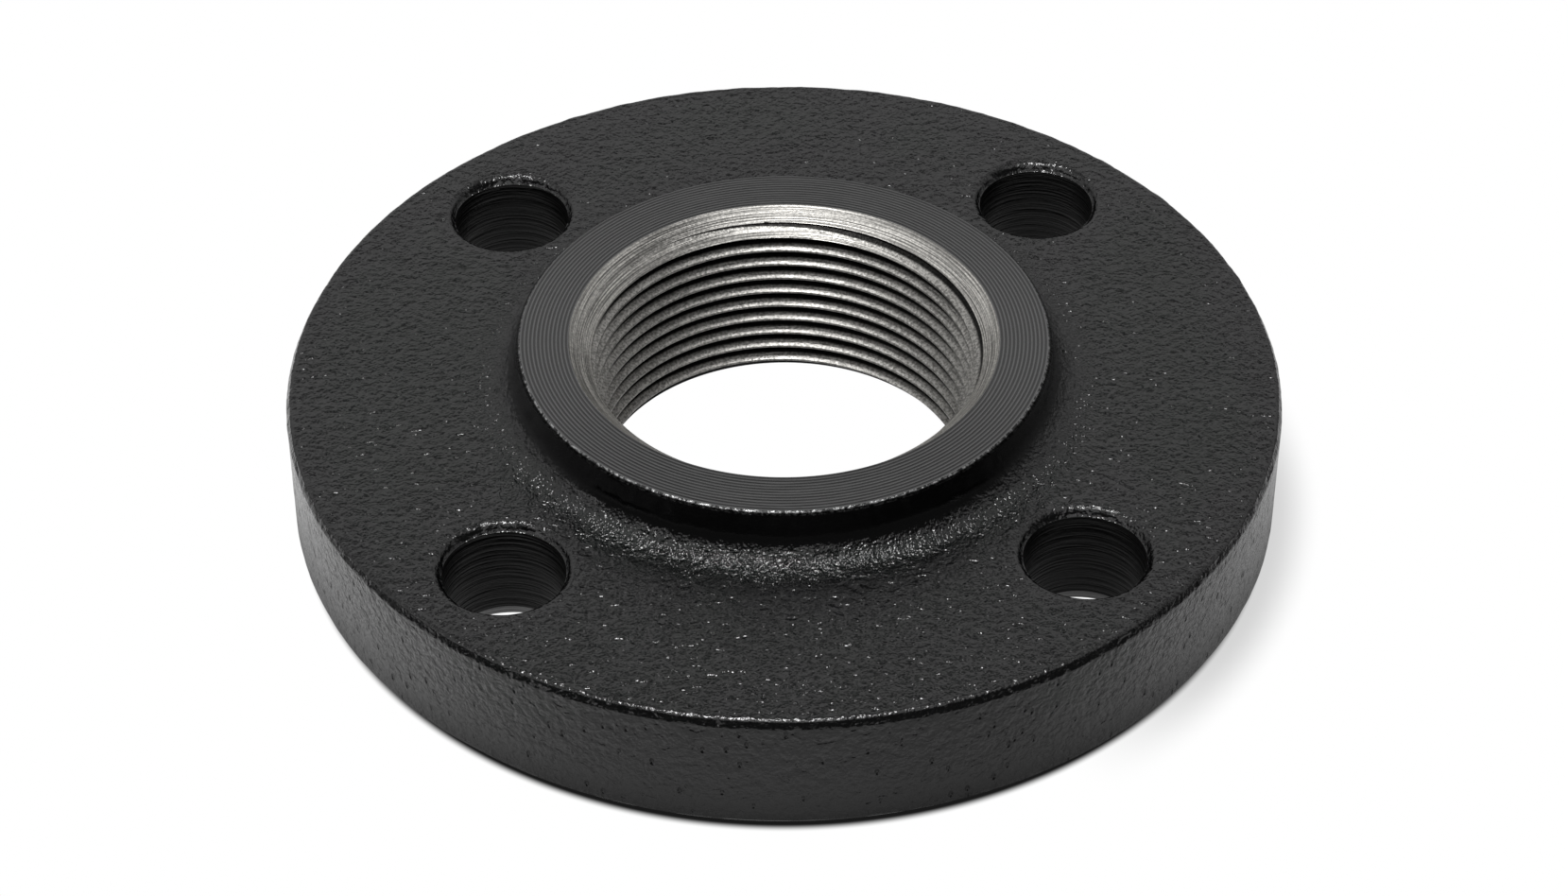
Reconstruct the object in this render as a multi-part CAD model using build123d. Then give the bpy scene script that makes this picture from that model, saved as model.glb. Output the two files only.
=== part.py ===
from build123d import *
import math
import os

# Threaded pipe flange, forged in one piece and then turned, drilled and tapped.
# It lies on its raised face. The origin is the centre of that face, and +Z runs up the bore, out of the hub.
# Lengths are in millimetres and angles in degrees.

# Disc
disc_diameter = 177.8
disc_thickness = 23.8
rim_top_chamfer = 1.5
rim_bottom_chamfer = 1.2

# Raised face, the sealing face under the disc
raised_face_diameter = 104.8
raised_face_height = 1.6

# Hub
hub_diameter = 95.0
hub_height = 8.9
hub_draft = 5.0
hub_foot_radius = 6.0
hub_edge_break = 0.6

# Bore, as drilled for a 2-1/2 inch taper pipe thread
bore_diameter = 66.7
bore_exit_chamfer = 0.8
countersink_diameter = 76.5
countersink_angle = 90.0

# Bolt holes, set in from the rim, each with a small chamfer above and a deeper flare below
bolt_hole_centre_to_rim = 19.05
bolt_count = 4
bolt_hole_diameter = 21.2
bolt_hole_mouth_diameter = 24.2
bolt_hole_mouth_depth = 1.4
bolt_hole_flare_diameter = 28.8
bolt_hole_flare_depth = 5.0

bolt_circle_diameter = disc_diameter - 2 * bolt_hole_centre_to_rim

# Levels along the axis
disc_bottom = raised_face_height
disc_top = disc_bottom + disc_thickness
hub_top = disc_top + hub_height

# How far a cutting tool runs past the faces that it cuts
overrun = 5.0


def corner(section, radius, level):
    """The corner of a half section at a radius and a level."""
    return section.vertices().sort_by_distance((radius, level))[0]


def turned(outline):
    """Solid of revolution about the bore's axis, from an outline of radius and level pairs."""
    with BuildPart() as solid:
        with BuildSketch(Plane.XZ):
            with BuildLine():
                Polyline(*outline, close=True)
            make_face()
        revolve(axis=Axis.Z)
    return solid.part


def forging():
    """Disc, drafted hub and raised face, turned from one half section with a full centre."""
    rim = disc_diameter / 2
    hub_end = hub_diameter / 2
    hub_foot = hub_end + hub_height * math.tan(math.radians(hub_draft))
    face_edge = raised_face_diameter / 2
    with BuildPart() as blank:
        with BuildSketch(Plane.XZ) as section:
            with BuildLine():
                Polyline(
                    (0, 0),
                    (face_edge, 0),
                    (face_edge, disc_bottom),
                    (rim, disc_bottom),
                    (rim, disc_top),
                    (hub_foot, disc_top),
                    (hub_end, hub_top),
                    (0, hub_top),
                    close=True,
                )
            make_face()
            fillet(corner(section, hub_foot, disc_top), radius=hub_foot_radius)
            chamfer(corner(section, hub_end, hub_top), length=hub_edge_break)
            chamfer(corner(section, rim, disc_top), length=rim_top_chamfer)
            chamfer(corner(section, rim, disc_bottom), length=rim_bottom_chamfer)
        revolve(axis=Axis.Z)
    return blank.part


def bore_cutter():
    """Bore with its countersink at the hub and a small chamfer at the raised face."""
    bore = bore_diameter / 2
    countersink = countersink_diameter / 2
    slope = math.tan(math.radians(countersink_angle / 2))
    return turned(
        [
            (0, -overrun),
            (bore + bore_exit_chamfer + overrun, -overrun),
            (bore, bore_exit_chamfer),
            (bore, hub_top - (countersink - bore) / slope),
            (countersink + overrun * slope, hub_top + overrun),
            (0, hub_top + overrun),
        ]
    )


def bolt_hole_cutter():
    """One bolt hole through the disc, with its chamfered mouth above and its flare below."""
    hole = bolt_hole_diameter / 2
    mouth_slope = (bolt_hole_mouth_diameter - bolt_hole_diameter) / 2 / bolt_hole_mouth_depth
    flare_slope = (bolt_hole_flare_diameter - bolt_hole_diameter) / 2 / bolt_hole_flare_depth
    return turned(
        [
            (0, disc_bottom - overrun),
            (hole + (bolt_hole_flare_depth + overrun) * flare_slope, disc_bottom - overrun),
            (hole, disc_bottom + bolt_hole_flare_depth),
            (hole, disc_top - bolt_hole_mouth_depth),
            (hole + (bolt_hole_mouth_depth + overrun) * mouth_slope, disc_top + overrun),
            (0, disc_top + overrun),
        ]
    )


def flange():
    """The whole flange, its bolt holes set evenly astride the centre lines."""
    first_hole = 180 / bolt_count
    body = forging() - bore_cutter()
    for place in PolarLocations(bolt_circle_diameter / 2, bolt_count, start_angle=first_hole):
        body -= place * bolt_hole_cutter()
    return body


os.makedirs("parts", exist_ok=True)
export_step(flange(), "parts/flange.step")
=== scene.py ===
"""The looks of a forged pipe flange: painted skin, turned hub, bare countersink and taper thread."""

import math

import bmesh
import bpy
import numpy as np
from mathutils import Matrix, Vector, noise


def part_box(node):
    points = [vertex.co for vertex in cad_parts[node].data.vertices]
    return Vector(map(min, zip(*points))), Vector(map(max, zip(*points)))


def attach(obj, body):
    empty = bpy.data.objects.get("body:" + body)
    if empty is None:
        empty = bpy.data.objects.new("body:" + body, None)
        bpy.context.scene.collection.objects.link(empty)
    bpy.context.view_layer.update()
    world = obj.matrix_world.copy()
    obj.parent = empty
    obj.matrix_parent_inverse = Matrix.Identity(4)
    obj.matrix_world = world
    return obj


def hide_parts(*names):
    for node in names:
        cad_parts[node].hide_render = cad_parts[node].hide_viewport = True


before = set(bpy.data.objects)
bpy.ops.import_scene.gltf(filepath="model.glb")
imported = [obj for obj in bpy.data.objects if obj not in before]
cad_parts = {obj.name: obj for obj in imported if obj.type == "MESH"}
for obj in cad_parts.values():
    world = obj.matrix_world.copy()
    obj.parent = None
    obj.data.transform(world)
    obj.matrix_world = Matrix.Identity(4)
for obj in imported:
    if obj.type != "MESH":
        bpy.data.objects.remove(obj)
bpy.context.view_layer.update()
low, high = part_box("flange")

# Lengths are in millimetres, and become metres where a mesh, lamp or camera is made
MM = 0.001

# Disc and raised face
rim_radius = (high.x - low.x) / 2 / MM
hub_top = (high.z - low.z) / MM
hub_height = 8.9
disc_top = hub_top - hub_height
disc_bottom = 1.6
rim_top_chamfer = 1.5
rim_bottom_chamfer = 1.2
raised_face_radius = 52.4
raised_face_break = 0.25
plate_edge = rim_radius - rim_top_chamfer
under_edge = rim_radius - rim_bottom_chamfer

# The rim's top edge from the plate outwards, as shares of the chamfer's width and depth
rim_edge_shape = [
    (0.0, 0.0),
    (0.14, 0.01),
    (0.28, 0.04),
    (0.42, 0.11),
    (0.56, 0.19),
    (0.60, 0.25),
    (0.985, 0.97),
    (1.0, 1.0),
]

# Hub and bore
hub_radius = 47.5
hub_draft = math.radians(5)
hub_foot_fillet = 6.0
hub_edge_break = 0.6
countersink_radius = 38.25
bore_exit_radius = 34.15

# Turned grooves of the hub's face, and where across a groove its root lies
face_groove_count = 12
face_groove_depth = 0.055
face_groove_root = 0.42
face_edge_land = 0.2
face_groove_start = hub_radius - hub_edge_break - face_edge_land
face_groove_width = (face_groove_start - countersink_radius) / face_groove_count

# One groove's section, as shares of its width and depth
face_groove_shape = [(0.22, 0.8), (face_groove_root, 1.0), (0.62, 0.8), (0.84, 0.0), (1.0, 0.0)]

# Bolt holes. The lip stands out from the wall and down from the plate, the burr out and up from the neck
bolt_count = 4
bolt_hole_centre_to_rim = 19.05
bolt_circle_radius = rim_radius - bolt_hole_centre_to_rim
bolt_hole_radius = 10.6
bolt_mouth_radius = 12.1
bolt_mouth_depth = 1.4
bolt_mouth_lip = (0.85, 0.28)
bolt_mouth_burr = (0.20, 0.10)
bolt_flare_radius = 14.4
bolt_flare_depth = 5.0

# Taper thread, eight to the inch. Its radius shrinks by 1 mm in 32 mm towards the raised face
thread_pitch = 3.175
thread_depth = 2.4
thread_crest_flat = 0.38
thread_crest_rounding = 0.03
thread_rounding_width = 0.06
thread_crest_radius_at_top = 33.9
thread_taper = 1 / 32
thread_flank = math.radians(30)
thread_start = math.radians(90)
thread_first_crest = 30.15

# Radius in the countersink at which the thread's helical grid ends in a level ring, and that ring's level
thread_top_radius = 37.0
thread_top = hub_top - (countersink_radius - thread_top_radius)

# One turn of the helical grid, as shares of the pitch from the middle of a crest
thread_profile = [-0.06, 0.0, 0.06, 0.09, 0.16, 0.26, 0.38, 0.496, 0.504, 0.62, 0.74, 0.84, 0.91]

# Pitch of the tool's lines in the countersink, by level, and of the raised face's grooves, by radius
countersink_line_pitch = 0.35
seal_groove_pitch = 0.8

# Divisions around the outside, around the face and the underside, and around the thread
around = 512
around_inner = 256
around_thread = 192

# Rings of the plate, and half as many of the underside, so that a bolt hole's circles start at one angle
plate_rings = 34
under_rings = plate_rings // 2

# Rings of the raised face, and rows of the rim, of its lower edge and of a bolt hole's wall
seal_rings = 3
rim_rows = 20
rim_foot_rows = 2
hole_rows = 2

# Columns of the block of cells round a bolt hole, its steps towards the hole, and how they crowd there
block_columns = 48
block_steps = 8
block_crowding = 0.85

# Steps along the smaller stretches of the section
fillet_steps = 11
hub_wall_steps = 3
hub_break_steps = 2
mouth_steps = 2
flare_steps = 4
sink_steps = 5
seal_wall_steps = 2

# Widths of the strips between patches whose divisions differ, and of the narrow row below the rim's top edge
under_strip = 0.5
sink_strip = 0.15
seal_strip = 1.6
rim_shoulder = 0.15

# Points of the thread's grid this near to a level ring move onto it, and this near to the cone lie on it
thread_snap = 0.06
on_sink_gap = 0.002

# Points nearer than this are joined, and machined corners sharper than this stay crisp
merge_distance = 0.002
crisp_angle = math.radians(32)

# Relief of the forged skin, and of the rim's rougher top edge: the height, length and offset of each wave
forged_waves = [(0.07, 7.0, (0, 0, 0)), (0.05, 3.1, (11, 5, 3)), (0.03, 1.7, (2, 17, 9))]
edge_waves = [(0.07, 1.5, (4, 8, 1)), (0.10, 4.0, (0, 0, 0))]

# How far the rougher relief reaches past the top edge, and how far that edge and the rim are worn back
edge_reach = 0.6
edge_worn = 0.05
rim_inset = 0.08

# Points this near to the rim's true circle never move outwards, and this near to the underside never move
rim_hold = 0.25
underside_hold = 0.01

# Mean height of the forged skin's bump
forged_mean = 0.335

# Range of radius outside the hub's wall over which the paint on its foot turns into that of the plate
hub_foot_paint = (6.5, 11.0)

# Depths where the painted shade in the thread's roots starts and ends, and how much faster it darkens behind
# the countersink
thread_bright_depth = 0.9
thread_dark_depth = 1.4
sink_edge_darkening = 5.0

# Colours of the coats and of the floor, and bare steel's green and blue against its red
paint_colour = (0.0015, 0.0015, 0.0016, 1)
seal_coat_colour = (0.012, 0.012, 0.0115, 1)
floor_colour = (0.8, 0.8, 0.8, 1)
steel_tint = (0.975, 0.925)

# The photograph's frame, and the camera that was fitted to it
image_width = 1659
focal_pixels = 4269.6
sensor_width = 36.0
camera_distance = 729.3
camera_elevation = math.radians(40.411)
camera_azimuth = math.radians(-2.07)
camera_target = Vector((0, 0, 14))
camera_pan = math.radians(-0.005)
camera_tilt = math.radians(-0.364)
camera_roll = math.radians(-0.141)

# Studio light, as radiance: a strength of 1 is white. +X is to the right, and +Y is away from the camera
wall_left = 0.88
wall_right = 0.78
horizon_left = 0.42
horizon_right = 0.26
wall_side_blend = 0.8
wall_rise_start = math.radians(8)
wall_rise_end = math.radians(30)
wall_top = math.radians(48)
wall_top_blur = math.radians(5)
gap_level = 0.12
front_dark = 0.06
front_blend = 0.3

# Softboxes: slopes of the left, right, front and back edges, the blur of the edges, and the light
main_softbox = (-0.45, 0.55, -1.5, -0.45, 0.10, 1.35)
left_softbox = (-2.2, -0.70, -1.0, 0.0, 0.08, 1.5)
top_softbox = (-0.6, 0.6, -0.5, 0.45, 0.10, 1.0)

# Directions lower than this are taken as this high when their slopes are worked out
lowest_height = 0.03

# The lamp overhead: its side, tilt towards the camera, distance, size and radiance
key_side = -0.06
key_tilt = math.radians(6)
key_distance = 1000
key_size = 200
key_radiance = 52.0

# Floor: half its size, and how far it lies under the raised face
floor_half_size = 3000
floor_drop = 0.02

# How bright the floor is where the flange mirrors it, as painted shade: by direction, by distance, and
# through the bore
floor_mirrored_front = 0.66
floor_mirrored_side = 1.0
floor_mirrored_right = 0.72
mirrored_front_spread = (-1.0, -0.55)
mirrored_right_spread = (0.2, 0.9)
floor_mirrored_near = 0.4
floor_mirrored_far = 0.12
near_reach = 7
far_start = 160
far_end = 320
bore_mirrored = 0.55

# The line of contact shadow under the rim: how far inside the rim it starts and ends, and its light
contact_start = 2.0
contact_end = 0.2
contact_light = 0.01

# The soft shadow on the floor to the right of the rim, and the cosines to its direction over which it grows
shadow_direction = (0.95, -0.3, 0.0)
shadow_spread = (0.74, 0.99)
shadow_depth = 0.34
shadow_width = 9

# Bright floor that the bore and the bolt holes let through, against their radii, and its limit near the rim
bore_floor_inset = 0.2
hole_floor_margin = 2.2
hole_floor_reach = 12

# Material indices of the mesh
PAINT, FACE, SINK, THREAD, HOLE, SEAL, WORN = range(7)


class Skin:
    """Collects points and faces. Points that meet are joined when the mesh is made."""

    def __init__(self):
        self.points = []
        self.faces = []
        self.materials = []
        self.count = 0

    def add_points(self, points):
        """Adds an array of points and returns their indices in the same layout."""
        points = np.asarray(points, float)
        self.points.append(points.reshape(-1, 3))
        first = self.count
        self.count += points.size // 3
        return np.arange(first, self.count).reshape(points.shape[:-1])

    def points_at(self, index):
        """The points behind an array of indices."""
        return np.concatenate(self.points)[index]

    def add_face(self, corners, material):
        """Adds one face."""
        self.faces.append([int(corner) for corner in corners])
        self.materials.append(material)

    def add_grid(self, index, material):
        """Faces between closed rows of an index grid."""
        rows, columns = index.shape
        for j in range(rows - 1):
            for i in range(columns):
                k = (i + 1) % columns
                self.add_face((index[j, i], index[j, k], index[j + 1, k], index[j + 1, i]), material)

    def add_zip(self, first, second, material):
        """Triangles between two closed rings, whatever their counts, that start at the same angle."""
        n, m = len(first), len(second)
        i, j = 0, 0
        while i < n or j < m:
            step_first = j == m or (i < n and (i + 1) * m <= (j + 1) * n)
            if step_first:
                self.add_face((first[i % n], first[(i + 1) % n], second[j % m]), material)
                i += 1
            else:
                self.add_face((first[i % n], second[(j + 1) % m], second[j % m]), material)
                j += 1


def ring(radius, level, count):
    """Points of a level circle about the bore's axis."""
    angle = np.arange(count) * math.tau / count
    return np.stack([radius * np.cos(angle), radius * np.sin(angle), np.full(count, level)], -1)


def rings(profile, count):
    """A stack of circles through a profile of radius and level pairs."""
    return np.stack([ring(radius, level, count) for radius, level in profile])


def line(start, end, steps):
    """Evenly spaced radius and level pairs between two, with both ends."""
    share = np.linspace(0, 1, steps + 1)[:, None]
    return np.asarray(start) * (1 - share) + np.asarray(end) * share


def chain(*runs):
    """Joins runs of a profile whose ends meet."""
    return np.concatenate([runs[0]] + [run[1:] for run in runs[1:]])


def arc(centre, radius, first, last, steps):
    """Radius and level pairs along an arc, with angles in radians."""
    angle = np.linspace(first, last, steps + 1)
    return np.stack([centre[0] + radius * np.cos(angle), centre[1] + radius * np.sin(angle)], -1)


def fillet_centre():
    """Centre of the fillet at the hub's foot, as a radius and a level."""
    foot = hub_radius + hub_height * math.tan(hub_draft)
    run = hub_foot_fillet * math.tan((math.pi / 2 - hub_draft) / 2)
    return foot + run, disc_top + hub_foot_fillet


def hub_side():
    """Profile of the hub from the plate up to its edge break: foot fillet and drafted wall."""
    foot = arc(fillet_centre(), hub_foot_fillet, -math.pi / 2, -math.pi + hub_draft, fillet_steps)
    return chain(foot, line(foot[-1], hub_break()[0], hub_wall_steps))


def hub_break():
    """Profile of the small break between the hub's wall and its face."""
    edge = (hub_radius + hub_edge_break * math.tan(hub_draft), hub_top - hub_edge_break)
    return line(edge, (hub_radius - hub_edge_break, hub_top), hub_break_steps)


def turned_face():
    """Profile of the hub's face from its edge to the countersink, with shallow round-bottomed grooves."""
    profile = [(face_groove_start, hub_top)]
    for groove in range(face_groove_count):
        for share, drop in face_groove_shape:
            radius = face_groove_start - (groove + share) * face_groove_width
            profile.append((radius, hub_top - drop * face_groove_depth))
    return np.array(profile)


def rim_edge():
    """Profile of the rim's top chamfer, which the forging left round above and steeper below."""
    out, down = np.array(rim_edge_shape).T * rim_top_chamfer
    return np.stack([plate_edge + out, disc_top - down], -1)


def hole_points(hole, radius, level, count, block):
    """A bolt hole's circle, which starts and turns as the loop of the block round it does."""
    direction = (hole + 0.5) * math.tau / bolt_count
    outward = np.array([math.cos(direction), math.sin(direction)])
    along = np.array([-math.sin(direction), math.cos(direction)])
    angle = math.pi - (np.arange(count) - block / 2) * math.tau / count
    offset = np.cos(angle)[:, None] * outward + np.sin(angle)[:, None] * along
    flat = bolt_circle_radius * outward + radius * offset
    return np.column_stack([flat, np.full(count, level)])


def hole_rings(skin, hole, profile, count, block):
    """Indices of a bolt hole's circles through a profile of radius and level pairs."""
    return skin.add_points(np.stack([hole_points(hole, r, z, count, block) for r, z in profile]))


def block_loop(grid, first, block):
    """Indices round the block of grid cells that a bolt hole takes the place of."""
    last = first + block
    inner = grid[0, first : last + 1]
    far_side = grid[1:, last]
    outer = grid[-1, first:last][::-1]
    near_side = grid[1:-1, first][::-1]
    return np.concatenate([inner, far_side, outer, near_side])


def drilled_face(skin, radii, level, count, block, opening_radius):
    """A level ring of the disc with a round opening at each bolt hole. Returns the openings' indices."""
    grid = skin.add_points(rings([(radius, level) for radius in radii], count))
    covered = np.zeros(count, bool)
    openings = []
    for hole in range(bolt_count):
        first = int((hole + 0.5) * count / bolt_count) - block // 2
        covered[first : first + block] = True
        loop = block_loop(grid, first, block)
        edge = hole_points(hole, opening_radius, level, len(loop), block)
        outside = skin.points_at(loop)
        shares = (np.arange(1, block_steps + 1) / block_steps) ** block_crowding
        inside = skin.add_points(np.stack([outside * (1 - t) + edge * t for t in shares]))
        skin.add_grid(np.vstack([loop[None, :], inside]), PAINT)
        openings.append(inside[-1])
    for j in range(len(radii) - 1):
        for i in np.flatnonzero(~covered):
            k = (i + 1) % count
            skin.add_face((grid[j, i], grid[j, k], grid[j + 1, k], grid[j + 1, i]), PAINT)
    return openings


def bolt_hole(skin, hole, mouth, foot):
    """One bolt hole between the openings of the disc's two faces: chamfered mouth, drilled wall and flare."""
    neck = disc_top - bolt_mouth_depth
    shoulder = disc_bottom + bolt_flare_depth
    lip = (bolt_hole_radius + bolt_mouth_lip[0], disc_top - bolt_mouth_lip[1])
    burr = (bolt_hole_radius + bolt_mouth_burr[0], neck + bolt_mouth_burr[1])
    chamfer = chain(
        line((bolt_mouth_radius, disc_top), lip, mouth_steps),
        line(lip, burr, mouth_steps),
        line(burr, (bolt_hole_radius, neck), 1),
    )
    wall = line((bolt_hole_radius, neck), (bolt_hole_radius, shoulder), hole_rows)
    flare = line((bolt_hole_radius, shoulder), (bolt_flare_radius, disc_bottom), flare_steps)
    bevel = hole_rings(skin, hole, chamfer[1:], len(mouth), block_columns)
    skin.add_grid(np.vstack([mouth[None, :], bevel]), PAINT)
    tube = hole_rings(skin, hole, wall, len(mouth), block_columns)
    skin.add_grid(tube, HOLE)
    cone = hole_rings(skin, hole, flare[1:-1], len(foot), block_columns // 2)
    skin.add_zip(tube[-1], cone[0], HOLE)
    skin.add_grid(np.vstack([cone, foot[None, :]]), HOLE)


def thread_radius(height, angle):
    """Radius of the threaded wall at a level and an angle about the axis."""
    lead = thread_pitch * (angle - thread_start) / math.tau
    crest = thread_crest_radius_at_top - (hub_top - height) * thread_taper
    turn = (height - thread_first_crest - lead) / thread_pitch
    from_crest = np.abs(turn - np.round(turn)) * thread_pitch
    past_flat = from_crest - thread_crest_flat / 2
    depth = np.clip(past_flat / math.tan(thread_flank), 0, thread_depth)
    rounding = thread_crest_rounding * np.exp(-((past_flat / thread_rounding_width) ** 2))
    return crest + depth + rounding


def countersink_at(height):
    """Radius of the countersink's cone at a level."""
    return countersink_radius - (hub_top - height)


def snap_to_edge(height, angle, bottom, top):
    """Moves the grid's points onto the edge where the countersink cuts the thread."""
    gap = countersink_at(height) - thread_radius(height, angle)
    for j in range(len(height) - 1):
        crossing = np.flatnonzero(gap[j] * gap[j + 1] < 0)
        share = gap[j, crossing] / (gap[j, crossing] - gap[j + 1, crossing])
        level = height[j, crossing] * (1 - share) + height[j + 1, crossing] * share
        row = np.where(share < 0.5, j, j + 1)
        height[row, crossing] = np.clip(level, bottom, top)
    return height


def thread_wall(skin):
    """The threaded wall, cut by the countersink and the exit chamfer. Returns its top and bottom rings."""
    top = thread_top
    bottom = 0.0
    turns_below = int(math.ceil(hub_top / thread_pitch)) + 1
    turns_above = 3
    turn = np.repeat(np.arange(-turns_below, turns_above), len(thread_profile))
    base = thread_first_crest + (turn + np.resize(thread_profile, len(turn))) * thread_pitch
    angle = np.arange(around_thread + 1) * math.tau / around_thread
    lead = thread_pitch * (angle - thread_start) / math.tau
    height = base[:, None] + lead[None, :]
    height[height < bottom + thread_snap] = bottom
    height[height > top - thread_snap] = top
    angles = np.broadcast_to(angle, height.shape)
    height = snap_to_edge(height, angles, bottom, top)
    wall = thread_radius(height, angles)
    sink = countersink_at(height)
    leave = bore_exit_radius - height
    radius = np.maximum(np.maximum(wall, sink), leave)
    on_sink = sink >= wall - on_sink_gap
    index = skin.add_points(np.stack([radius * np.cos(angles), radius * np.sin(angles), height], -1))
    for j in range(len(base) - 1):
        for i in range(around_thread):
            corners = ((j, i), (j, i + 1), (j + 1, i + 1), (j + 1, i))
            material = SINK if all(on_sink[corner] for corner in corners) else THREAD
            skin.add_face([index[corner] for corner in corners], material)
    return index[-1, :-1], index[0, :-1]


def add_rings(skin, profile, count, material):
    """Turned surface through a profile. Returns its first and last rings of indices."""
    index = skin.add_points(rings(profile, count))
    skin.add_grid(index, material)
    return index[0], index[-1]


def add_disc(skin):
    """The plate and the underside, with the bolt holes between them."""
    plate = np.linspace(fillet_centre()[0], plate_edge, plate_rings + 1)
    underside = np.linspace(raised_face_radius, under_edge - under_strip, under_rings + 1)
    mouths = drilled_face(skin, plate, disc_top, around, block_columns, bolt_mouth_radius)
    feet = drilled_face(skin, underside, disc_bottom, around_inner, block_columns // 2, bolt_flare_radius)
    for hole in range(bolt_count):
        bolt_hole(skin, hole, mouths[hole], feet[hole])


def add_rim(skin):
    """The rim with its upper and lower edges, and the strip that joins it to the underside."""
    upper = disc_top - rim_top_chamfer
    lower = disc_bottom + rim_bottom_chamfer
    rim = chain(
        rim_edge(),
        line((rim_radius, upper), (rim_radius, upper - rim_shoulder), 1),
        line((rim_radius, upper - rim_shoulder), (rim_radius, lower), rim_rows),
        line((rim_radius, lower), (under_edge, disc_bottom), rim_foot_rows),
    )
    rim_foot = add_rings(skin, rim, around, PAINT)[1]
    under_ring = skin.add_points(ring(under_edge - under_strip, disc_bottom, around_inner))
    skin.add_zip(rim_foot, under_ring, PAINT)


def add_hub(skin):
    """The hub's foot and wall, its edge break and its grooved face."""
    add_rings(skin, hub_side(), around, PAINT)
    hub_edge = add_rings(skin, hub_break(), around, WORN)[1]
    face_start = add_rings(skin, turned_face(), around_inner, FACE)[0]
    skin.add_zip(hub_edge, face_start, FACE)


def add_bore(skin):
    """The threaded wall and the countersink. Returns the ring at the bore's exit."""
    sink_end, exit_edge = thread_wall(skin)
    depth = hub_top - thread_top - sink_strip
    sink = line((countersink_radius, hub_top), (countersink_radius - depth, hub_top - depth), sink_steps)
    sink_last = add_rings(skin, sink, around_inner, SINK)[1]
    skin.add_zip(sink_last, sink_end, SINK)
    return exit_edge


def add_raised_face(skin, exit_edge):
    """The raised face with its wall and edge break, in to the bore's exit."""
    flat_radius = raised_face_radius - raised_face_break
    seal = chain(
        line((raised_face_radius, disc_bottom), (raised_face_radius, raised_face_break), seal_wall_steps),
        line((raised_face_radius, raised_face_break), (flat_radius, 0.0), 1),
        line((flat_radius, 0.0), (bore_exit_radius + seal_strip, 0.0), seal_rings),
    )
    seal_last = add_rings(skin, seal, around_inner, SEAL)[1]
    skin.add_zip(seal_last, exit_edge, SEAL)


def build_skin():
    """Every face of the flange, patch by patch."""
    skin = Skin()
    add_disc(skin)
    add_rim(skin)
    add_hub(skin)
    exit_edge = add_bore(skin)
    add_raised_face(skin, exit_edge)
    return skin


def relief_at(point, waves):
    """How far a skin with these waves stands off its true surface at a point, in millimetres."""
    return sum(height * noise.noise(point / length + Vector(offset)) for height, length, offset in waves)


def roughen(bm):
    """Moves the painted points off their true surface, and never past the rim or into the floor."""
    bm.normal_update()
    edge_radius = plate_edge - edge_reach
    edge_level = disc_top - rim_top_chamfer - edge_reach
    moves = []
    for vert in bm.verts:
        if any(face.material_index != PAINT for face in vert.link_faces):
            continue
        point = vert.co / MM
        radius = math.hypot(point.x, point.y)
        if point.z < disc_bottom + underside_hold:
            continue
        shift = relief_at(point, forged_waves)
        if radius > edge_radius and point.z > edge_level:
            shift += relief_at(point, edge_waves) - edge_worn
        shift -= rim_inset * min(max(1 + (radius - rim_radius) / rim_top_chamfer, 0.0), 1.0)
        if radius > rim_radius - rim_hold:
            shift = min(shift, 0.0)
        moves.append((vert, vert.normal * shift * MM))
    for vert, move in moves:
        vert.co += move


def mark_sharp(bm):
    """Machined corners stay crisp, and the forged skin stays smooth."""
    for edge in bm.edges:
        if len(edge.link_faces) != 2:
            continue
        forged = all(face.material_index == PAINT for face in edge.link_faces)
        edge.smooth = forged or edge.calc_face_angle(0.0) < crisp_angle


def make_flange(materials):
    """The one mesh that stands for the flange."""
    skin = build_skin()
    mesh = bpy.data.meshes.new("flange_skin")
    mesh.from_pydata((np.concatenate(skin.points) * MM).tolist(), [], skin.faces)
    for material in materials:
        mesh.materials.append(material)
    mesh.polygons.foreach_set("material_index", skin.materials)
    bm = bmesh.new()
    bm.from_mesh(mesh)
    bmesh.ops.remove_doubles(bm, verts=bm.verts, dist=merge_distance * MM)
    bmesh.ops.recalc_face_normals(bm, faces=bm.faces)
    for face in bm.faces:
        face.smooth = True
    roughen(bm)
    mark_sharp(bm)
    bm.normal_update()
    open_edges = sum(len(edge.link_faces) != 2 for edge in bm.edges)
    triangles = sum(len(face.verts) - 2 for face in bm.faces)
    print(f"flange_skin: {triangles} triangles, {open_edges} edges without two faces")
    bm.to_mesh(mesh)
    bm.free()
    body = bpy.data.objects.new("flange_skin", mesh)
    bpy.context.scene.collection.objects.link(body)
    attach(body, "root")
    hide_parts("flange")


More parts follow.
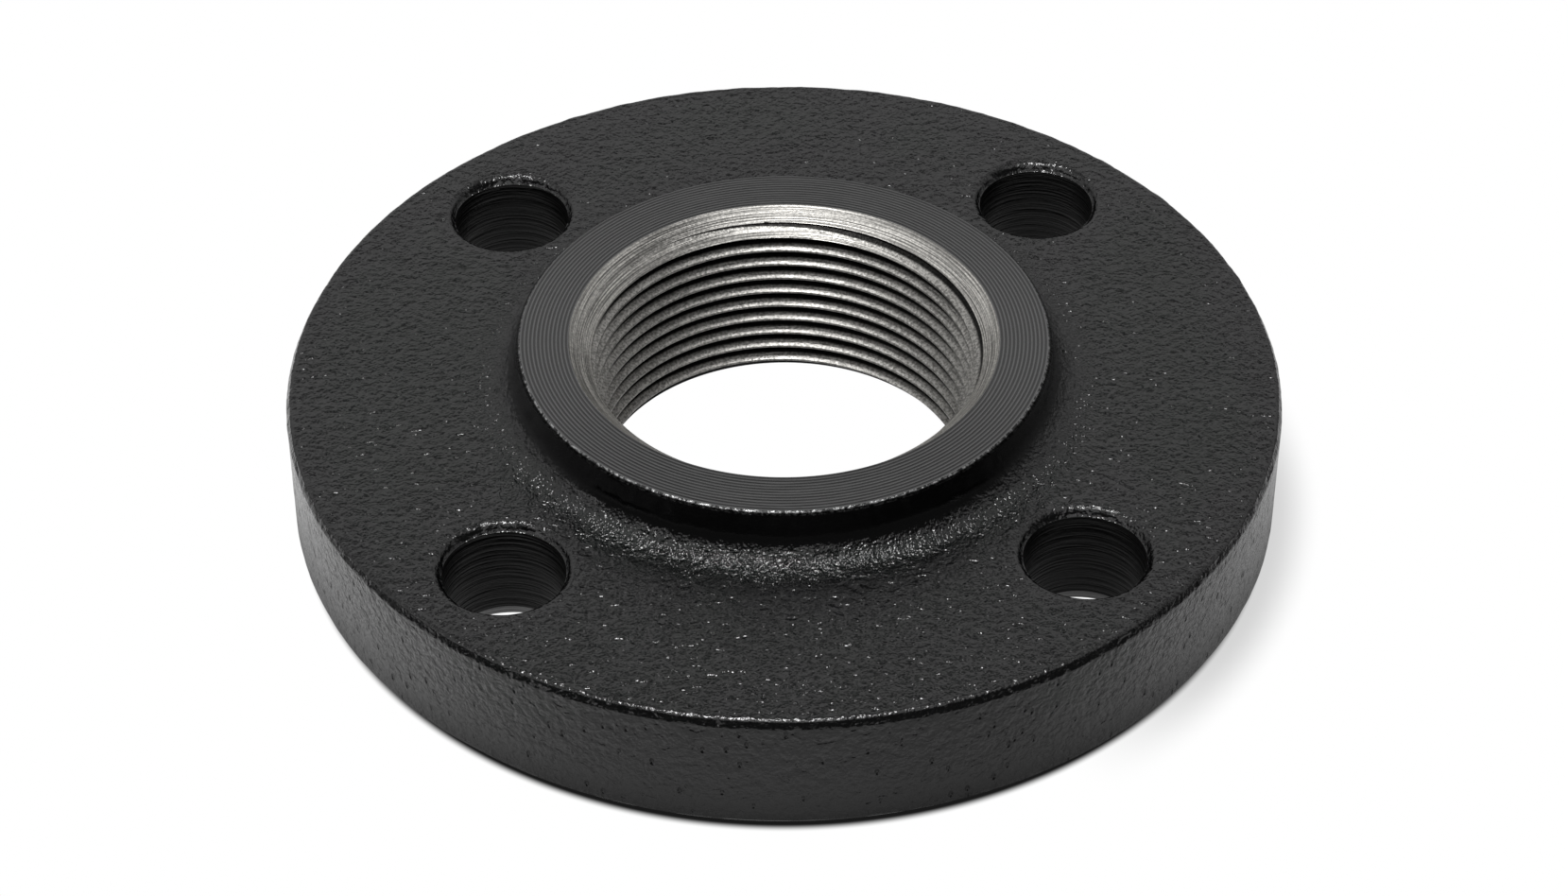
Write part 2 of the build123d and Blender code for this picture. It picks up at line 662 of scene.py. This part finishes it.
class Graph:
    """Short calls that add and join the nodes of one tree."""

    def __init__(self, tree):
        self.tree = tree
        tree.nodes.clear()

    def add(self, kind, inputs=None, **settings):
        """A node with its settings, and inputs given as values or as outputs of other nodes."""
        made = self.tree.nodes.new(kind)
        for name, value in settings.items():
            setattr(made, name, value)
        for name, value in (inputs or {}).items():
            self.put(made.inputs[name], value)
        return made

    def put(self, socket, value):
        """Joins an output to a socket, or sets the socket's value."""
        if isinstance(value, bpy.types.NodeSocket):
            self.tree.links.new(value, socket)
        else:
            socket.default_value = value

    def math(self, operation, first, second=0.0, third=0.0):
        """The output of one Math node."""
        return self.add("ShaderNodeMath", {0: first, 1: second, 2: third}, operation=operation).outputs[0]

    def vector_math(self, operation, first, second):
        """The output of one Vector Math node that takes two vectors."""
        return self.add("ShaderNodeVectorMath", {0: first, 1: second}, operation=operation).outputs[0]

    def scale(self, vector, factor):
        """A vector times a factor."""
        return self.add("ShaderNodeVectorMath", {0: vector, "Scale": factor}, operation="SCALE").outputs[0]

    def split(self, vector):
        """The three parts of a vector."""
        return self.add("ShaderNodeSeparateXYZ", {0: vector}).outputs

    def mix(self, factor, first, second):
        """The value that lies between two by a factor."""
        inputs = {"Factor": factor, "A": first, "B": second}
        return self.add("ShaderNodeMix", inputs, data_type="FLOAT").outputs[0]

    def ramp(self, value, low_in, high_in, low_out=0.0, high_out=1.0):
        """A value mapped smoothly from one range to another and held at its ends."""
        inputs = {
            "Value": value,
            "From Min": low_in,
            "From Max": high_in,
            "To Min": low_out,
            "To Max": high_out,
        }
        return self.add("ShaderNodeMapRange", inputs, interpolation_type="SMOOTHSTEP").outputs[0]

    def noise(self, vector, scale, detail=2.0, roughness=0.5, distortion=0.0):
        """The value of a noise texture."""
        inputs = {
            "Vector": vector,
            "Scale": scale,
            "Detail": detail,
            "Roughness": roughness,
            "Distortion": distortion,
        }
        return self.add("ShaderNodeTexNoise", inputs).outputs[0]

    def spots(self, vector, scale, inner, outer):
        """Scattered round spots, which fall from one at the inner radius to zero at the outer, in cells."""
        cells = self.add("ShaderNodeTexVoronoi", {"Vector": vector, "Scale": scale}, feature="F1")
        return self.ramp(cells.outputs["Distance"], inner, outer, 1.0, 0.0)

    def bump(self, height, distance):
        """A normal bent by a height, whose full range stands for a distance in millimetres."""
        return self.add("ShaderNodeBump", {"Height": height, "Distance": distance * MM}).outputs[0]

    def grey(self, value):
        """A grey colour from a value."""
        return self.add("ShaderNodeCombineColor", {0: value, 1: value, 2: value}).outputs[0]

    def warm(self, value):
        """The slightly warm grey of bare steel from a value."""
        green = self.math("MULTIPLY", value, steel_tint[0])
        blue = self.math("MULTIPLY", value, steel_tint[1])
        return self.add("ShaderNodeCombineColor", {0: value, 1: green, 2: blue}).outputs[0]


def new_material(name):
    """An empty material, its graph and its place in millimetres."""
    material = bpy.data.materials.new(name)
    material.use_nodes = True
    graph = Graph(material.node_tree)
    place = graph.add("ShaderNodeTexCoord").outputs["Object"]
    return material, graph, graph.scale(place, 1 / MM)


def finish_material(graph, **inputs):
    """Ends a material with one Principled shader."""
    named = {name.replace("_", " "): value for name, value in inputs.items()}
    shader = graph.add("ShaderNodeBsdfPrincipled", named)
    output = graph.add("ShaderNodeOutputMaterial")
    graph.put(output.inputs["Surface"], shader.outputs[0])


def cylinder_parts(graph, place):
    """Radius, level and a seamless direction about the bore's axis."""
    parts = graph.split(place)
    flat = graph.add("ShaderNodeCombineXYZ", {0: parts[0], 1: parts[1]}).outputs[0]
    radius = graph.add("ShaderNodeVectorMath", {0: flat}, operation="LENGTH").outputs["Value"]
    direction = graph.add("ShaderNodeVectorMath", {0: flat}, operation="NORMALIZE").outputs[0]
    return radius, parts[2], direction


def streaks(graph, direction, across, turn_scale, across_scale, detail):
    """Noise drawn out along the turning direction, as a cutting tool leaves it."""
    step = graph.math("MULTIPLY", across, across_scale)
    offset = graph.add("ShaderNodeCombineXYZ", {2: step}).outputs[0]
    vector = graph.vector_math("ADD", graph.scale(direction, turn_scale), offset)
    return graph.noise(vector, scale=1.0, detail=detail)


def bolt_hole_distance(graph, place):
    """Distance from the nearest bolt hole's axis."""
    folded = graph.add("ShaderNodeVectorMath", {0: place}, operation="ABSOLUTE").outputs[0]
    flat = graph.vector_math("MULTIPLY", folded, (1, 1, 0))
    off_axis = bolt_circle_radius / math.sqrt(2)
    inputs = {0: flat, 1: (off_axis, off_axis, 0)}
    return graph.add("ShaderNodeVectorMath", inputs, operation="DISTANCE").outputs["Value"]


def edge_roughness(graph, place):
    """How torn the forging is: one on the rim's top edge, half at the bolt holes' mouths, else zero."""
    radius, level, _ = cylinder_parts(graph, place)
    edge_level = disc_top - rim_top_chamfer
    outer = graph.ramp(radius, plate_edge - edge_reach, plate_edge + 0.1)
    upper = graph.ramp(level, edge_level - 0.1, edge_level + 0.3)
    rim = graph.math("MULTIPLY", outer, upper)
    distance = bolt_hole_distance(graph, place)
    mouth = graph.ramp(distance, bolt_mouth_radius, bolt_mouth_radius + 0.4, 0.5, 0.0)
    return graph.math("MAXIMUM", rim, mouth)


def forged_relief(graph, place, radius, grain, by_hub, rough_edge):
    """Height of the forged skin in millimetres, from its layers and their depths."""
    ripple = graph.noise(place, scale=0.75, distortion=0.3)
    dents = graph.ramp(graph.noise(place, scale=0.45, detail=1.0, distortion=0.5), 0.30, 0.50)
    shot = graph.math("SUBTRACT", graph.noise(place, scale=2.1, detail=1.0), 0.5)
    shot = graph.math("MULTIPLY", shot, by_hub)
    nodules = graph.spots(place, 0.22, 0.02, 0.07)
    pits = graph.spots(place, 0.08, 0.015, 0.05)
    on_rim = graph.ramp(radius, rim_radius - 0.7, rim_radius - 0.3)
    upright = graph.vector_math("MULTIPLY", place, (1, 1, 0.55))
    flecks = graph.math("MULTIPLY", graph.spots(upright, 0.40, 0.0, 0.22), on_rim)
    torn = graph.noise(place, scale=1.0, roughness=0.6, distortion=0.8)
    torn = graph.math("MULTIPLY", torn, rough_edge)
    layers = (
        (dents, 0.12),
        (grain, 0.09),
        (shot, 0.24),
        (nodules, 0.18),
        (pits, -0.35),
        (flecks, -0.55),
        (torn, 0.18),
    )
    relief = graph.math("MULTIPLY", ripple, 0.36)
    for height, depth in layers:
        relief = graph.math("MULTIPLY_ADD", height, depth, relief)
    return graph.math("SUBTRACT", relief, forged_mean)


def forged_paint():
    """Semi-gloss black paint over the forged skin: low plateaus with short dents, grain, nodules and pits."""
    material, graph, place = new_material("forged_paint")
    rough_edge = edge_roughness(graph, place)
    radius, level, _ = cylinder_parts(graph, place)
    foot_start, foot_end = hub_foot_paint
    on_plate = graph.ramp(radius, hub_radius + foot_start, hub_radius + foot_end)
    by_hub = graph.math("SUBTRACT", 1.0, on_plate)
    grain = graph.noise(place, scale=1.9, detail=1.0, roughness=0.6)
    relief = forged_relief(graph, place, radius, grain, by_hub, rough_edge)
    calm_wall = graph.ramp(level, disc_top + 1.5, disc_top + 3.4, 1.0, 0.08)
    calm_edge = graph.ramp(rough_edge, 0.0, 1.0, 1.0, 0.62)
    relief = graph.math("MULTIPLY", graph.math("MULTIPLY", relief, calm_wall), calm_edge)
    gloss = graph.ramp(grain, 0.3, 0.7, 0.14, 0.22)
    gloss = graph.math("MULTIPLY", gloss, graph.ramp(by_hub, 0.0, 1.0, 1.0, 0.65))
    bent = graph.bump(relief, 1.0)
    finish_material(graph, Base_Color=paint_colour, Roughness=gloss, Normal=bent)
    return material


def machined_paint():
    """Thin dark coat over the turned face of the hub, rubbed greyer on the lands between the grooves, and
    black with painted shade down in each groove.
    """
    material, graph, place = new_material("machined_paint")
    radius, _, direction = cylinder_parts(graph, place)
    fine = streaks(graph, direction, radius, 6.0, 5.0, 2.0)
    turns = graph.math("DIVIDE", graph.math("SUBTRACT", face_groove_start, radius), face_groove_width)
    across = graph.math("SUBTRACT", graph.math("FRACT", turns), face_groove_root)
    # Partly real wear and partly painted shade: grey where the coat is rubbed on the lands, black in the
    # groove roots
    rubbed_and_shade = graph.ramp(graph.math("ABSOLUTE", across), 0.22, 0.40, 0.0, 0.046)
    bent = graph.bump(fine, 0.03)
    gloss = graph.ramp(fine, 0.3, 0.7, 0.20, 0.30)
    finish_material(graph, Base_Color=graph.grey(rubbed_and_shade), Roughness=gloss, IOR=1.6, Normal=bent)
    return material


def bare_countersink():
    """Bright cut steel with the fine lines of the tool, each a little lighter or darker than the next."""
    material, graph, place = new_material("bare_countersink")
    _, level, direction = cylinder_parts(graph, place)
    fine = streaks(graph, direction, level, 2.0, 6.5, 1.0)
    grain = graph.noise(place, scale=2.2, detail=1.0, roughness=0.6)
    lines = graph.math("SINE", graph.math("MULTIPLY", level, math.tau / countersink_line_pitch))
    tone = graph.math("MULTIPLY_ADD", lines, 0.09, graph.ramp(fine, 0.42, 0.58, 0.26, 0.58))
    tone = graph.math("MULTIPLY", tone, graph.ramp(grain, 0.35, 0.65, 0.8, 1.2))
    bent = graph.bump(graph.math("MULTIPLY_ADD", grain, 0.5, fine), 0.06)
    gloss = graph.ramp(grain, 0.3, 0.7, 0.40, 0.50)
    finish_material(graph, Base_Color=graph.warm(tone), Metallic=1.0, Roughness=gloss, Normal=bent)
    return material


def bare_thread():
    """Cut thread: bright on the crests and the outer flanks, with painted shade that darkens the roots."""
    material, graph, place = new_material("bare_thread")
    radius, level, direction = cylinder_parts(graph, place)
    fine = streaks(graph, direction, level, 4.0, 4.0, 3.0)
    narrowing = graph.math("MULTIPLY", graph.math("SUBTRACT", hub_top, level), thread_taper)
    crest = graph.math("SUBTRACT", thread_crest_radius_at_top, narrowing)
    under_crest = graph.math("SUBTRACT", radius, crest)
    cone = graph.math("SUBTRACT", level, hub_top - countersink_radius)
    under_cone = graph.math("MULTIPLY", graph.math("SUBTRACT", radius, cone), sink_edge_darkening)
    depth = graph.math("MINIMUM", under_crest, under_cone)
    # Painted shade: the deeper a point lies below the crest or the countersink's cone, the darker the steel's
    # colour
    tone = graph.ramp(depth, thread_bright_depth, thread_dark_depth, 0.27, 0.012)
    grain = graph.noise(place, scale=2.0, roughness=0.6)
    tone = graph.math("MULTIPLY", tone, graph.ramp(grain, 0.35, 0.65, 0.6, 1.4))
    bent = graph.bump(graph.math("MULTIPLY_ADD", grain, 0.8, fine), 0.09)
    gloss = graph.ramp(fine, 0.3, 0.7, 0.36, 0.48)
    finish_material(graph, Base_Color=graph.warm(tone), Metallic=1.0, Roughness=gloss, Normal=bent)
    return material


def hole_paint():
    """Black paint on the drilled walls, with the drill's rings showing through, and painted shade that
    darkens the wall towards its top.
    """
    material, graph, place = new_material("hole_paint")
    level = graph.split(place)[2]
    drawn = graph.vector_math("MULTIPLY", place, (0.05, 0.05, 1.3))
    lines = graph.noise(drawn, scale=1.0, roughness=0.6)
    grain = graph.noise(place, scale=1.4, detail=1.0, roughness=0.6)
    relief = graph.math("MULTIPLY_ADD", grain, 0.06, graph.math("MULTIPLY", lines, 0.42))
    bent = graph.bump(relief, 1.0)
    # Painted shade: the wall's colour darkens towards the top and lightens towards the bottom
    lower = graph.ramp(level, disc_top - 3.0, disc_top - 11.0, 0.1, 1.0)
    colour = graph.grey(graph.math("MULTIPLY", lower, graph.ramp(lines, 0.40, 0.62, 0.001, 0.010)))
    gloss = graph.ramp(lines, 0.35, 0.65, 0.3, 0.45)
    finish_material(graph, Base_Color=colour, Roughness=gloss, IOR=1.36, Normal=bent)
    return material


def sealing_face():
    """Black coat on the raised face, over the close turned grooves that hold a gasket."""
    material, graph, place = new_material("sealing_face")
    radius = cylinder_parts(graph, place)[0]
    wave = graph.math("SINE", graph.math("MULTIPLY", radius, math.tau / seal_groove_pitch))
    bent = graph.bump(wave, 0.03)
    finish_material(graph, Base_Color=seal_coat_colour, Roughness=0.4, Normal=bent)
    return material


def worn_edge():
    """The hub's edge break, where the coat is rubbed through to the steel in places."""
    material, graph, place = new_material("worn_edge")
    level = graph.split(place)[2]
    upper = graph.ramp(level, hub_top - 0.32, hub_top - 0.12, 0.03, 1.0)
    rubbed = graph.noise(place, scale=1.4, detail=3.0, roughness=0.6)
    colour = graph.grey(graph.math("MULTIPLY", upper, graph.ramp(rubbed, 0.42, 0.64, 0.05, 0.45)))
    bent = graph.bump(rubbed, 0.28)
    finish_material(graph, Base_Color=colour, Metallic=1.0, Roughness=0.3, Normal=bent)
    return material


def flange_materials():
    """The materials, in the order of their indices."""
    return [
        forged_paint(),
        machined_paint(),
        bare_countersink(),
        bare_thread(),
        hole_paint(),
        sealing_face(),
        worn_edge(),
    ]


def in_bore(graph, radius):
    """One on the floor inside the bore, and zero elsewhere."""
    return graph.math("LESS_THAN", radius, bore_exit_radius - bore_floor_inset)


def in_bolt_hole(graph, place, radius):
    """One on the floor that the bolt holes let through, and zero elsewhere and near the rim."""
    through = graph.math("LESS_THAN", bolt_hole_distance(graph, place), bolt_flare_radius + hole_floor_margin)
    inward = graph.math("LESS_THAN", radius, bolt_circle_radius + hole_floor_reach)
    return graph.math("MULTIPLY", through, inward)


def floor_as_seen(graph, radius, to_right, through):
    """White, but for the contact shadow and the soft shadow on the right, and white inside the openings."""
    contact = graph.ramp(radius, rim_radius - contact_start, rim_radius - contact_end, contact_light, 1.0)
    side = graph.ramp(to_right, *shadow_spread, 0.0, shadow_depth)
    fade = graph.ramp(radius, rim_radius, rim_radius + shadow_width, 1.0, 0.0)
    cast = graph.math("SUBTRACT", 1.0, graph.math("MULTIPLY", side, fade))
    return graph.math("MAXIMUM", graph.math("MULTIPLY", contact, cast), through)


def floor_as_mirrored(graph, radius, to_right, away, bore):
    """Painted shade on the mirrored floor: darker in front, on the right, close to the rim and far off, and
    dim inside the bore.
    """
    level = graph.ramp(away, *mirrored_front_spread, floor_mirrored_front, floor_mirrored_side)
    on_right = graph.ramp(to_right, *mirrored_right_spread, 1.0, floor_mirrored_right)
    far_off = graph.ramp(radius, far_start, far_end, 1.0, floor_mirrored_far)
    by_rim = graph.ramp(radius, rim_radius, rim_radius + near_reach, floor_mirrored_near, 1.0)
    for share in (on_right, far_off, by_rim):
        level = graph.math("MULTIPLY", level, share)
    return graph.math("MAXIMUM", level, graph.math("MULTIPLY", bore, bore_mirrored))


def floor_white():
    """One level to the camera, another to mirroring paint, white to other light, and clear from below."""
    material, graph, place = new_material("floor_white")
    path = graph.add("ShaderNodeLightPath")
    radius, _, direction = cylinder_parts(graph, place)
    dot = graph.add("ShaderNodeVectorMath", {0: direction, 1: shadow_direction}, operation="DOT_PRODUCT")
    to_right = dot.outputs["Value"]
    away = graph.split(direction)[1]
    bore = in_bore(graph, radius)
    through = graph.math("MAXIMUM", bore, in_bolt_hole(graph, place, radius))
    shown = floor_as_seen(graph, radius, to_right, through)
    mirrored = floor_as_mirrored(graph, radius, to_right, away, bore)
    glossy = path.outputs["Is Glossy Ray"]
    direct = graph.math("MAXIMUM", path.outputs["Is Camera Ray"], glossy)
    direct = graph.math("MAXIMUM", direct, path.outputs["Is Transmission Ray"])
    colour = graph.grey(graph.mix(glossy, shown, mirrored))
    seen = graph.add("ShaderNodeEmission", {"Color": colour, "Strength": 1.0}).outputs[0]
    lit = graph.add("ShaderNodeBsdfDiffuse", {"Color": floor_colour}).outputs[0]
    above = graph.add("ShaderNodeMixShader", {0: direct, 1: lit, 2: seen}).outputs[0]
    from_below = graph.add("ShaderNodeNewGeometry").outputs["Backfacing"]
    clear = graph.add("ShaderNodeBsdfTransparent").outputs[0]
    one_sided = graph.add("ShaderNodeMixShader", {0: from_below, 1: above, 2: clear}).outputs[0]
    output = graph.add("ShaderNodeOutputMaterial")
    graph.put(output.inputs["Surface"], one_sided)
    return material


def make_floor():
    """The white floor, a large level square just under the raised face."""
    size = floor_half_size * MM
    level = -floor_drop * MM
    mesh = bpy.data.meshes.new("floor")
    corners = [(-size, -size, level), (size, -size, level), (size, size, level), (-size, size, level)]
    mesh.from_pydata(corners, [], [(0, 1, 2, 3)])
    mesh.materials.append(floor_white())
    floor = bpy.data.objects.new("floor", mesh)
    bpy.context.scene.collection.objects.link(floor)


def softbox_light(graph, overhead, softbox):
    """Light of a level softbox. Its edges are slopes from the vertical, across and away from the camera."""
    left, right, front, back, blur, light = softbox
    across, depth = overhead
    mask = graph.ramp(across, left - blur, left + blur)
    mask = graph.math("MULTIPLY", mask, graph.ramp(across, right - blur, right + blur, 1.0, 0.0))
    mask = graph.math("MULTIPLY", mask, graph.ramp(depth, front - blur, front + blur))
    mask = graph.math("MULTIPLY", mask, graph.ramp(depth, back - blur, back + blur, 1.0, 0.0))
    return graph.math("MULTIPLY", mask, light)


def studio_light(graph):
    """A grey wall behind, a dark gap above it, three softboxes overhead, and dark towards the camera."""
    direction = graph.add("ShaderNodeTexCoord").outputs["Generated"]
    across, depth, height = graph.split(direction)
    horizon = graph.ramp(across, -wall_side_blend, wall_side_blend, horizon_left, horizon_right)
    wall = graph.ramp(across, -wall_side_blend, wall_side_blend, wall_left, wall_right)
    rise = graph.ramp(height, math.sin(wall_rise_start), math.sin(wall_rise_end))
    above = graph.ramp(height, math.sin(wall_top - wall_top_blur), math.sin(wall_top + wall_top_blur))
    behind = graph.mix(above, graph.mix(rise, horizon, wall), gap_level)
    light = graph.mix(graph.ramp(depth, -front_blend, front_blend), front_dark, behind)
    raised = graph.math("MAXIMUM", height, lowest_height)
    overhead = (graph.math("DIVIDE", across, raised), graph.math("DIVIDE", depth, raised))
    for softbox in (main_softbox, left_softbox, top_softbox):
        light = graph.math("MAXIMUM", light, softbox_light(graph, overhead, softbox))
    return light


def make_world():
    """The studio round the flange, which the camera itself sees as white."""
    world = bpy.data.worlds.new("studio")
    world.use_nodes = True
    bpy.context.scene.world = world
    graph = Graph(world.node_tree)
    colour = graph.grey(studio_light(graph))
    camera = graph.add("ShaderNodeLightPath").outputs["Is Camera Ray"]
    dome = graph.add("ShaderNodeBackground", {"Color": colour, "Strength": 1.0}).outputs[0]
    white = graph.add("ShaderNodeBackground", {"Color": (1, 1, 1, 1), "Strength": 1.0}).outputs[0]
    mixed = graph.add("ShaderNodeMixShader", {0: camera, 1: dome, 2: white}).outputs[0]
    output = graph.add("ShaderNodeOutputWorld")
    graph.put(output.inputs["Surface"], mixed)


def make_lamp():
    """One small strong square lamp overhead, which makes the paint glint."""
    lamp = bpy.data.lights.new("key", "AREA")
    lamp.shape = "SQUARE"
    lamp.size = key_size * MM
    lamp.energy = key_radiance * math.pi * lamp.size**2
    key = bpy.data.objects.new("key", lamp)
    bpy.context.scene.collection.objects.link(key)
    position = Vector((key_side, -math.sin(key_tilt), math.cos(key_tilt))) * key_distance * MM
    facing = (camera_target * MM - position).to_track_quat("-Z", "Y")
    key.matrix_world = Matrix.LocRotScale(position, facing, None)


def make_camera():
    """The photograph's camera."""
    turn = Matrix.Rotation(camera_azimuth, 3, "Z")
    towards_eye = turn @ Vector((0, -math.cos(camera_elevation), math.sin(camera_elevation)))
    eye = camera_target + towards_eye * camera_distance
    forward = -towards_eye
    right = turn @ Vector((1, 0, 0))
    up = right.cross(forward)
    forward = (forward + math.tan(camera_pan) * right + math.tan(camera_tilt) * up).normalized()
    level_right = forward.cross(up).normalized()
    level_up = level_right.cross(forward)
    right = math.cos(camera_roll) * level_right + math.sin(camera_roll) * level_up
    up = right.cross(forward)
    data = bpy.data.cameras.new("camera")
    data.sensor_fit = "HORIZONTAL"
    data.sensor_width = sensor_width
    data.lens = focal_pixels / image_width * sensor_width
    data.clip_start = 0.01
    data.clip_end = 20
    camera = bpy.data.objects.new("camera", data)
    bpy.context.scene.collection.objects.link(camera)
    axes = Matrix((right, up, -forward)).transposed()
    camera.matrix_world = Matrix.Translation(eye * MM) @ axes.to_4x4()
    bpy.context.scene.camera = camera


bpy.context.scene.view_settings.view_transform = "Standard"
make_flange(flange_materials())
make_floor()
make_world()
make_lamp()
make_camera()
